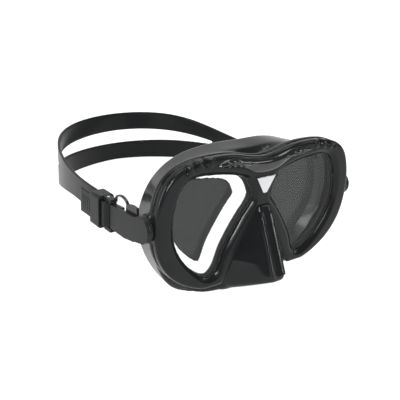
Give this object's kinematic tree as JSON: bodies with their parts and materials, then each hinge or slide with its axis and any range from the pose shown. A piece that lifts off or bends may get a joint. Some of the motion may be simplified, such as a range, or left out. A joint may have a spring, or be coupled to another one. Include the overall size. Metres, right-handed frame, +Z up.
{
  "type": "diving mask",
  "caption": "Two-window diving mask with a rigid frame, silicone skirt with nose pocket, swivel side buckles with squeeze levers, and a split silicone head strap.",
  "frame": {"origin": "middle of the footprint, on the surface the mask rests on with its cheeks and the rear of its strap", "axes": "+X to the wearer's left, -Y the way the lenses face, +Y from the lenses to the rear of the strap, +Z up"},
  "size_m": [0.1846, 0.2473, 0.103],
  "materials": {
    "frame_black": "satin black moulding",
    "brow_gloss": "high gloss black",
    "badge_silver": "satin silver plate, plain",
    "tempered_glass": "clear tempered",
    "ring_black": "black",
    "skirt_silicone": "matte black silicone",
    "strap_silicone": "smooth black silicone",
    "buckle_black": "fine textured black",
    "lever_black": "gloss black",
    "pin_steel": "brushed"
  },
  "bodies": {
    "mask": {"frame": "frame_black", "brow_cover": "brow_gloss", "badge_plate": "badge_silver", "skirt": "skirt_silicone", "lens_left": "tempered_glass", "lens_right": "tempered_glass", "lens_ring_left": "ring_black", "lens_ring_right": "ring_black", "pivot_pin_left": "pin_steel", "pivot_pin_right": "pin_steel"},
    "harness": {"strap": "strap_silicone", "buckle_base_left": "buckle_black", "buckle_base_right": "buckle_black", "buckle_cover_left": "buckle_black", "buckle_cover_right": "buckle_black", "roller_axle_left": "pin_steel", "roller_axle_right": "pin_steel"},
    "upper_lever_left": {"upper_lever_left": "lever_black"},
    "lower_lever_left": {"lower_lever_left": "lever_black"},
    "roller_left": {"roller_left": "buckle_black"},
    "strap_keeper_left": {"strap_keeper_left": "buckle_black"},
    "upper_lever_right": {"upper_lever_right": "lever_black"},
    "lower_lever_right": {"lower_lever_right": "lever_black"},
    "roller_right": {"roller_right": "buckle_black"},
    "strap_keeper_right": {"strap_keeper_right": "buckle_black"}
  },
  "joints": [
    {"name": "strap_swing", "type": "hinge", "parent": "mask", "child": "harness", "pos_m": [0, -0.08351, 0.06074], "axis": [-1, 0, 0], "range_deg": [-75, 30]},
    {"name": "upper_lever_press_left", "type": "hinge", "parent": "harness", "child": "upper_lever_left", "pos_m": [0.0852, -0.04938, 0.06218], "axis": [1, 0, 0], "range_deg": [0, 4], "stiffness_Nm_per_rad": 0.6, "springref_deg": -1.72},
    {"name": "lower_lever_press_left", "type": "hinge", "parent": "harness", "child": "lower_lever_left", "pos_m": [0.0852, -0.06257, 0.04582], "axis": [-1, 0, 0], "range_deg": [0, 6], "stiffness_Nm_per_rad": 0.6, "springref_deg": -1.72},
    {"name": "roller_spin_left", "type": "hinge", "parent": "harness", "child": "roller_left", "pos_m": [0.0865, -0.04407, 0.05082], "axis": [0, 0.1547, 0.988], "continuous": true},
    {"name": "keeper_slide_left", "type": "slide", "parent": "harness", "child": "strap_keeper_left", "axis": [0, 0.988, -0.1547], "range_m": [0, 0.012]},
    {"name": "upper_lever_press_right", "type": "hinge", "parent": "harness", "child": "upper_lever_right", "pos_m": [-0.0852, -0.04938, 0.06218], "axis": [1, 0, 0], "range_deg": [0, 4], "stiffness_Nm_per_rad": 0.6, "springref_deg": -1.72},
    {"name": "lower_lever_press_right", "type": "hinge", "parent": "harness", "child": "lower_lever_right", "pos_m": [-0.0852, -0.06257, 0.04582], "axis": [-1, 0, 0], "range_deg": [0, 6], "stiffness_Nm_per_rad": 0.6, "springref_deg": -1.72},
    {"name": "roller_spin_right", "type": "hinge", "parent": "harness", "child": "roller_right", "pos_m": [-0.0865, -0.04407, 0.05082], "axis": [0, 0.1547, 0.988], "continuous": true},
    {"name": "keeper_slide_right", "type": "slide", "parent": "harness", "child": "strap_keeper_right", "axis": [0, 0.988, -0.1547], "range_m": [0, 0.012]}
  ]
}
